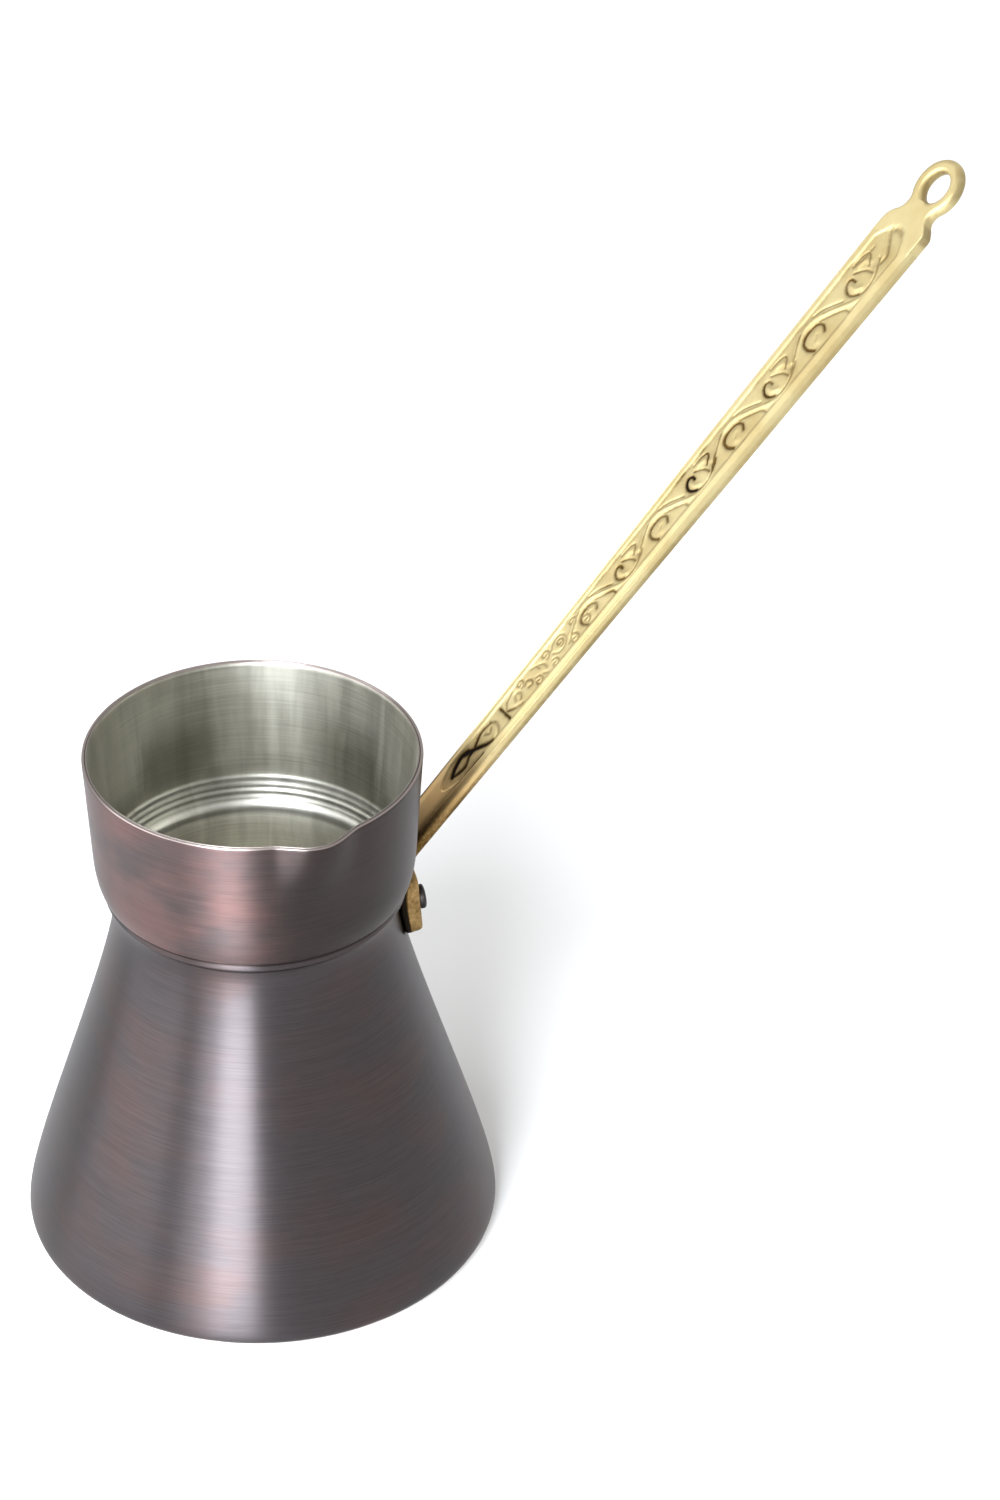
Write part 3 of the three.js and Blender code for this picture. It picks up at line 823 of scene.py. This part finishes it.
def makeRivet(side):
    front = foot["curve"] + foot["thick"]
    turn = math.asin(rivet["spread"] / front)
    tilt = Matrix.Rotation(-lean, 3, "Y")
    face = tilt @ Vector((front * math.cos(turn) - foot["curve"], side * rivet["spread"], -rivet["below"]))
    face += Vector((foot["inner"], 0, footTop))
    axis = tilt @ Vector((math.cos(turn), side * math.sin(turn), 0))
    head, inner, shank, gap, grip = (rivet[key] for key in ("head", "inner", "shank", "gap", "grip"))
    top = gap + rivet["height"]
    section = [(share * head, top - drop) for share, drop in rivet["dome"]]
    section += [(head + out, gap + up) for out, up in rivet["rim"]]
    section += [(shank, section[-1][1]), (shank, -grip)]
    section += [(share * inner, -grip - drop) for share, drop in rivet["innerDome"]]
    bm = bmesh.new()
    spinRound(bm, addChain(bm, [Vector((r, 0, z)) * mm for r, z in section]), rivet["steps"])
    for v in bm.verts:
        aside = Vector((v.co.x, v.co.y, 0))
        if aside.length > 1e-6:
            dent = noise.noise(v.co * rivet["dentScale"] + Vector((side * 7, 3, 1))) * rivet["dent"] * mm
            v.co += aside.normalized() * dent
    turned = Vector((0, 0, 1)).rotation_difference(axis).to_matrix().to_4x4()
    bmesh.ops.transform(bm, matrix=Matrix.Translation(face * mm) @ turned, verts=bm.verts)
    return bm


rivets = []
for side, name, node in ((-1, "rivetSpoutSide", "rivet_spout_side"), (1, "rivetFarSide", "rivet_far_side")):
    piece = finishPiece(name, makeRivet(side), node, rivet["smoothAngle"])
    rivets.append(piece)
print("rivets set")

# Materials

crossGrain = 0.25  # a quarter turn, so that gloss spreads across the turned lines


# short ways to add shader nodes to a material or a world and join them
class Nodes:
    def __init__(self, owner):
        self.owner = owner
        owner.use_nodes = True
        self.tree = owner.node_tree
        self.tree.nodes.clear()

    def add(self, kind, settings=None, **inputs):
        node = self.tree.nodes.new(kind)
        for key, value in (settings or {}).items():
            setattr(node, key, value)
        for key, value in inputs.items():
            self.put(node, key.replace("_", " "), value)
        return node

    def put(self, node, socket, value):
        target = node.inputs[socket]
        if isinstance(value, bpy.types.NodeSocket):
            self.tree.links.new(value, target)
        else:
            target.default_value = value

    def coords(self, scale):
        where = self.add("ShaderNodeTexCoord").outputs["Object"]
        return self.add("ShaderNodeMapping", Vector=where, Scale=scale).outputs[0]

    def noise(self, scale, detail, roughness, distortion=0.0):
        return self.add("ShaderNodeTexNoise", Vector=self.coords(scale), Scale=1.0, Detail=detail,
                        Roughness=roughness, Distortion=distortion).outputs["Fac"]

    def ramp(self, value, low, high, toLow=0.0, toHigh=1.0):
        return self.add("ShaderNodeMapRange", {"interpolation_type": "SMOOTHSTEP"}, Value=value,
                        From_Min=low, From_Max=high, To_Min=toLow, To_Max=toHigh).outputs[0]

    def math(self, operation, a, b=0.0, clamp=False):
        node = self.add("ShaderNodeMath", {"operation": operation, "use_clamp": clamp})
        self.put(node, 0, a)
        self.put(node, 1, b)
        return node.outputs[0]

    # a band round a place, soft at its edges
    def band(self, value, place, fade):
        return self.ramp(self.math("ABSOLUTE", self.math("SUBTRACT", value, place)), *fade)

    # two values added by their shares
    def shared(self, a, b, shares):
        return self.math("ADD", self.math("MULTIPLY", a, shares[0]), self.math("MULTIPLY", b, shares[1]))

    # a number that a noise spreads round its middle
    def spread(self, value, middle, width):
        return self.math("ADD", self.math("MULTIPLY", value, width), middle - width / 2)

    def mix(self, factor, a, b):
        node = self.tree.nodes.new("ShaderNodeMix")
        node.data_type = "RGBA"
        self.put(node, 0, factor)
        for index, value in ((6, a), (7, b)):
            self.put(node, index, value if isinstance(value, bpy.types.NodeSocket) else (*value, 1))
        return node.outputs[2]

    def value(self, colour, amount):
        return self.add("ShaderNodeHueSaturation", Color=colour, Value=amount).outputs[0]

    def height(self):
        where = self.add("ShaderNodeTexCoord").outputs["Object"]
        return self.add("ShaderNodeSeparateXYZ", Vector=where).outputs["Z"]

    # how far a point lies along a direction from the pot's axis
    def along(self, direction):
        node = self.add("ShaderNodeVectorMath", {"operation": "DOT_PRODUCT"})
        self.put(node, 0, self.add("ShaderNodeTexCoord").outputs["Object"])
        self.put(node, 1, direction)
        return node.outputs["Value"]

    def relief(self, height, strength, distance):
        return self.add("ShaderNodeBump", Strength=strength, Distance=distance, Height=height).outputs[0]

    def roundAxis(self):
        return self.add("ShaderNodeTangent", {"direction_type": "RADIAL", "axis": "Z"}).outputs[0]

    # 1 for what the camera, a reflection or a clear piece sees, and 0 for what only lights
    def seen(self):
        path = self.add("ShaderNodeLightPath").outputs
        mirrored = self.math("MAXIMUM", path["Is Glossy Ray"], path["Is Transmission Ray"])
        return self.math("MAXIMUM", path["Is Camera Ray"], mirrored)

    def finish(self, **inputs):
        shader = self.add("ShaderNodeBsdfPrincipled", **inputs)
        self.add("ShaderNodeOutputMaterial", Surface=shader.outputs[0])
        return self.owner


copperLook = {
    "bell": (0.058, 0.051, 0.053),
    "bellWarm": (0.070, 0.051, 0.050),
    "collar": (0.076, 0.062, 0.062),
    "collarWarm": (0.130, 0.078, 0.074),
    # the colour of the collar's painted shade, on the side of the handle and the lip
    "collarPaintedShade": (0.036, 0.030, 0.029),
    # the colour of the painted shade in the groove and under the bead
    "dirt": (0.020, 0.016, 0.015),
    # worn copper along the base's corner, with a painted reflection of the floor
    "baseWearAndSheen": (0.50, 0.44, 0.40),
    "lip": (0.30, 0.255, 0.24),
    "roughness": 0.375,
    "roughnessSpread": 0.10,
    "anisotropy": 0.91,
    "relief": (0.25, 0.00002),  # strength and distance
    "lines": ((110, 110, 6500), 4, 0.6),  # noises: scale along each axis, detail and roughness
    "longLines": ((30, 30, 2200), 3, 0.55),
    "patches": ((40, 40, 70), 3, 0.55),
    "lineShares": (0.7, 0.3),
    "lineRange": (0.36, 0.64),
    "lineContrast": 0.11,
    "bellPatches": (0.42, 0.72),
    "collarPatches": (0.35, 0.68),
    "collarFade": (0.0800, 0.0812),  # heights and distances in metres from here on
    "collarShadeToward": (0.916, -0.402, 0),
    "collarShadeFade": (-0.005, 0.011),
    "collarShadeShare": 0.85,
    "groovePlace": 0.0806,
    "grooveFade": (0.0005, 0.0001),
    "beadPlace": 0.0786,
    "beadFade": (0.0008, 0.0002),
    "grooveShadeShare": 0.92,
    "lipFade": (0.10974, 0.10990),
    "baseFade": (0.0006, 0.0001),
    "baseUneven": -0.0010,
}


def copperMaterial(look):
    n = Nodes(bpy.data.materials.new("antiquedCopper"))
    lines = n.noise(*look["lines"])
    longLines = n.noise(*look["longLines"])
    patches = n.noise(*look["patches"])
    z = n.height()
    bell = n.mix(n.ramp(patches, *look["bellPatches"]), look["bell"], look["bellWarm"])
    collar = n.mix(n.ramp(patches, *look["collarPatches"]), look["collar"], look["collarWarm"])
    # painted shade: the collar is darker on the side of the handle and the lip
    shadedSide = n.ramp(n.along(look["collarShadeToward"]), *look["collarShadeFade"])
    collar = n.mix(n.math("MULTIPLY", shadedSide, look["collarShadeShare"]), collar, look["collarPaintedShade"])
    colour = n.mix(n.ramp(z, *look["collarFade"]), bell, collar)
    stroke = n.shared(lines, longLines, look["lineShares"])
    dark, pale = n.value(colour, 1 - look["lineContrast"]), n.value(colour, 1 + look["lineContrast"])
    colour = n.mix(n.ramp(stroke, *look["lineRange"]), dark, pale)
    # painted shade in the groove and under the bead
    shadeInGroove = n.band(z, look["groovePlace"], look["grooveFade"])
    shadeUnderBead = n.band(z, look["beadPlace"], look["beadFade"])
    dirt = n.math("MULTIPLY", n.math("MAXIMUM", shadeInGroove, shadeUnderBead), look["grooveShadeShare"])
    colour = n.mix(dirt, colour, look["dirt"])
    # worn bright on the lip
    colour = n.mix(n.ramp(z, *look["lipFade"]), colour, look["lip"])
    # along the base's corner, wear and a painted reflection of the floor: a thin bright line
    uneven = n.math("ADD", z, n.math("MULTIPLY", patches, look["baseUneven"]))
    colour = n.mix(n.ramp(uneven, *look["baseFade"]), colour, look["baseWearAndSheen"])
    return n.finish(Base_Color=colour, Metallic=1.0, Anisotropic=look["anisotropy"],
                    Anisotropic_Rotation=crossGrain, Tangent=n.roundAxis(),
                    Roughness=n.spread(lines, look["roughness"], look["roughnessSpread"]),
                    Normal=n.relief(stroke, *look["relief"]))


tinLook = {
    "tin": (0.50, 0.485, 0.43),
    "dull": (0.40, 0.39, 0.33),
    # the colour of the painted shade inside the collar
    "paintedShade": (0.20, 0.195, 0.155),
    "ring": (0.42, 0.41, 0.375),
    "betweenRings": (0.25, 0.245, 0.215),
    "deep": (0.85, 0.83, 0.74),
    "lip": (0.26, 0.23, 0.21),
    "roughness": 0.42,
    "roughnessSpread": 0.2,
    "anisotropy": 0.4,
    "relief": (0.3, 0.00005),
    "lines": ((50, 50, 3200), 4, 0.6),
    "wiped": ((260, 260, 26), 4, 0.6, 0.6),  # with distortion
    "patches": ((40, 40, 50), 3, 0.5),
    "patchRange": (0.3, 0.7),
    "strokeShares": (0.45, 0.55),
    "strokeRange": (0.35, 0.65),
    "strokeDark": 0.84,
    "strokePale": 1.1,
    "paintedShadeSides": (0.916, -0.402, 0),  # heights and distances in metres from here on
    "paintedShadeUneven": 0.004,
    "paintedShadeStart": (0.008, 0.018),
    "paintedShadeEnd": (0.0275, 0.0235),
    "paintedShadeDown": (0.105, 0.092, 0.12, 0.85),
    "lowPaintedShade": (0.0905, 0.0845, 0.0, 0.6),
    "ringFade": (0.0846, 0.0838),
    "betweenPlace": 0.0811,
    "betweenFade": (0.0021, 0.0013),
    "deepFade": (0.0776, 0.0764),
    "lipFade": (0.10950, 0.10980),
}


def tinMaterial(look):
    n = Nodes(bpy.data.materials.new("wipedTin"))
    lines = n.noise(*look["lines"])
    wiped = n.noise(*look["wiped"])
    patches = n.noise(*look["patches"])
    z = n.height()
    colour = n.mix(n.ramp(patches, *look["patchRange"]), look["tin"], look["dull"])
    # painted shade at two sides inside the collar, more towards its foot, and bright from the turned rings
    # down
    aside = n.math("ABSOLUTE", n.along(look["paintedShadeSides"]))
    uneven = n.math("ADD", aside, n.math("MULTIPLY", wiped, look["paintedShadeUneven"]))
    paintedShade = n.math("MULTIPLY", n.ramp(uneven, *look["paintedShadeStart"]), n.ramp(uneven, *look["paintedShadeEnd"]))
    paintedShade = n.math("MULTIPLY", paintedShade, n.ramp(z, *look["paintedShadeDown"]))
    colour = n.mix(n.math("MAXIMUM", paintedShade, n.ramp(z, *look["lowPaintedShade"])), colour, look["paintedShade"])
    colour = n.mix(n.ramp(z, *look["ringFade"]), colour, look["ring"])
    colour = n.mix(n.band(z, look["betweenPlace"], look["betweenFade"]), colour, look["betweenRings"])
    colour = n.mix(n.ramp(z, *look["deepFade"]), colour, look["deep"])
    colour = n.mix(n.ramp(z, *look["lipFade"]), colour, look["lip"])
    stroke = n.shared(lines, wiped, look["strokeShares"])
    dark, pale = n.value(colour, look["strokeDark"]), n.value(colour, look["strokePale"])
    colour = n.mix(n.ramp(stroke, *look["strokeRange"]), dark, pale)
    return n.finish(Base_Color=colour, Metallic=1.0, Anisotropic=look["anisotropy"],
                    Anisotropic_Rotation=crossGrain, Tangent=n.roundAxis(),
                    Roughness=n.spread(stroke, look["roughness"], look["roughnessSpread"]),
                    Normal=n.relief(stroke, *look["relief"]))


brassLook = {
    "pale": (0.59, 0.50, 0.27),
    "deep": (0.52, 0.41, 0.195),
    "root": (0.88, 0.58, 0.26),
    "patina": (0.11, 0.064, 0.016),
    # near black: patina in the darkest cut lines, and painted shade on the foot's back
    "blackPatinaAndShade": (0.014, 0.010, 0.007),
    "roughness": 0.46,
    "roughnessSpread": 0.16,
    "dirtRoughness": 0.2,
    "relief": (0.2, 0.00005),
    "grain": ((1300, 1300, 1300), 4, 0.6),
    "blotch": ((80, 80, 80), 4, 0.6),
    "blotchRange": (0.35, 0.7),
    "grainShare": 0.4,
    "dirtBlotch": (0.45, 0.85, 0.65, 1.15),
    "blackPatinaAndShadeRange": (1.15, 1.5),
    "rootFade": (0.104, 0.084),  # heights in metres
    "rootBlotch": (0.3, 0.6, 0.75, 1.0),
}


def brassMaterial(look):
    n = Nodes(bpy.data.materials.new("castBrass"))
    # hollow holds the carving's patina, and painted shade near the root, on the sides' lower half and on the
    # foot's back
    hollow = n.add("ShaderNodeAttribute", {"attribute_name": "hollow"}).outputs["Fac"]
    grain = n.noise(*look["grain"])
    blotch = n.noise(*look["blotch"])
    nearRoot = n.ramp(n.height(), *look["rootFade"])
    colour = n.mix(n.ramp(blotch, *look["blotchRange"]), look["pale"], look["deep"])
    colour = n.mix(n.math("MULTIPLY", nearRoot, n.ramp(blotch, *look["rootBlotch"])), colour, look["root"])
    uneven = n.math("ADD", blotch, n.math("MULTIPLY", grain, look["grainShare"]))
    # patina, with the painted shade that hollow also carries
    dirt = n.math("MULTIPLY", hollow, n.ramp(uneven, *look["dirtBlotch"]), clamp=True)
    colour = n.mix(dirt, colour, look["patina"])
    # near black in the darkest cut lines, and painted shade on the foot's back
    colour = n.mix(n.ramp(hollow, *look["blackPatinaAndShadeRange"]), colour, look["blackPatinaAndShade"])
    rough = n.spread(grain, look["roughness"], look["roughnessSpread"])
    rough = n.math("ADD", rough, n.math("MULTIPLY", dirt, look["dirtRoughness"]))
    return n.finish(Base_Color=colour, Metallic=1.0, Roughness=rough, Normal=n.relief(grain, *look["relief"]))


rivetLook = {
    "dark": (0.008, 0.006, 0.005),
    "rubbed": (0.028, 0.020, 0.017),
    "metallic": 0.6,
    "roughness": 0.47,
    "roughnessSpread": 0.3,
    "relief": (0.4, 0.0001),
    "grain": ((1100, 1100, 1100), 4, 0.6),
    "grainRange": (0.4, 0.75),
}


def rivetMaterial(look):
    n = Nodes(bpy.data.materials.new("darkRivet"))
    grain = n.noise(*look["grain"])
    colour = n.mix(n.ramp(grain, *look["grainRange"]), look["dark"], look["rubbed"])
    rough = n.spread(grain, look["roughness"], look["roughnessSpread"])
    return n.finish(Base_Color=colour, Metallic=look["metallic"], Roughness=rough,
                    Normal=n.relief(grain, *look["relief"]))


pot.data.materials.append(copperMaterial(copperLook))
lining.data.materials.append(tinMaterial(tinLook))
handle.data.materials.append(brassMaterial(brassLook))
darkRivet = rivetMaterial(rivetLook)
for piece in rivets:
    piece.data.materials.append(darkRivet)
print("materials made")

# The studio: a white floor, a white surround and soft lamps

studio = {
    "floorSize": 6.0,
    "floorWhite": (0.80, 0.785, 0.77, 1),
    "floorLift": 0.35,
    "surround": 1.0,
    "fill": 0.3,
    "white": (1, 1, 1, 1),
    "aim": (0, 0, 0.06),  # where the lamps point
}
lamps = [
    # name, azimuth and elevation seen from the pot, distance, width, height, tilt, radiance and colour
    ("windowStrip", -39, 24, 1.6, 0.6, 1.9, 14, 33.0, (0.89, 0.94, 1.0)),
    ("windowEdge", -58, 22, 1.6, 0.30, 1.9, 14, 6.0, (0.89, 0.94, 1.0)),
    ("leftWall", -99, 22, 1.8, 1.7, 1.8, 0, 5.0, (0.92, 0.96, 1.0)),
    ("topPanel", 20, 80, 1.7, 1.2, 1.2, 0, 0.5, (1.0, 1.0, 1.0)),
]


def makeFloor():
    bm = bmesh.new()
    bmesh.ops.create_grid(bm, x_segments=1, y_segments=1, size=studio["floorSize"] / 2)
    mesh = bpy.data.meshes.new("floor")
    bm.to_mesh(mesh)
    bm.free()
    floor = bpy.data.objects.new("floor", mesh)
    bpy.context.scene.collection.objects.link(floor)
    n = Nodes(bpy.data.materials.new("whiteFloor"))
    cloth = n.add("ShaderNodeBsdfDiffuse", Color=studio["floorWhite"])
    glow = n.add("ShaderNodeEmission", Color=studio["white"], Strength=1.0)
    mix = n.add("ShaderNodeMixShader", Fac=n.math("MULTIPLY", n.seen(), studio["floorLift"]))
    n.put(mix, 1, cloth.outputs[0])
    n.put(mix, 2, glow.outputs[0])
    n.add("ShaderNodeOutputMaterial", Surface=mix.outputs[0])
    floor.data.materials.append(n.owner)


def makeSurround():
    world = bpy.data.worlds.new("studio")
    bpy.context.scene.world = world
    n = Nodes(world)
    strength = n.add("ShaderNodeMapRange", Value=n.seen(), To_Min=studio["fill"], To_Max=studio["surround"])
    background = n.add("ShaderNodeBackground", Color=studio["white"], Strength=strength.outputs[0])
    n.add("ShaderNodeOutputWorld", Surface=background.outputs[0])


def makeLamp(name, azimuth, elevation, distance, width, height, tilt, radiance, colour):
    a, e = math.radians(azimuth), math.radians(elevation)
    away = Vector((math.sin(a) * math.cos(e), -math.cos(a) * math.cos(e), math.sin(e)))
    data = bpy.data.lights.new(name, "AREA")
    data.shape = "RECTANGLE"
    data.size, data.size_y = width, height
    data.energy = radiance * width * height * math.pi
    data.color = colour
    lamp = bpy.data.objects.new(name, data)
    lamp.visible_camera = False
    bpy.context.scene.collection.objects.link(lamp)
    facing = away.to_track_quat("Z", "Y").to_matrix().to_4x4()
    roll = Matrix.Rotation(math.radians(tilt), 4, "Z")
    lamp.matrix_world = Matrix.Translation(Vector(studio["aim"]) + away * distance) @ facing @ roll
    return lamp


# a lamp kept off a piece lights all the others only
def keepOff(lamp, piece):
    receivers = bpy.data.collections.new(lamp.name + "Receivers")
    receivers.objects.link(piece)
    receivers.collection_objects[0].light_linking.link_state = "EXCLUDE"
    lamp.light_linking.receiver_collection = receivers


makeFloor()
makeSurround()
madeLamps = {lamp[0]: makeLamp(*lamp) for lamp in lamps}
keepOff(madeLamps["windowStrip"], handle)  # seen from behind, it would make the brass clip to white
bpy.context.scene.view_settings.view_transform = "Standard"
print("studio lit")
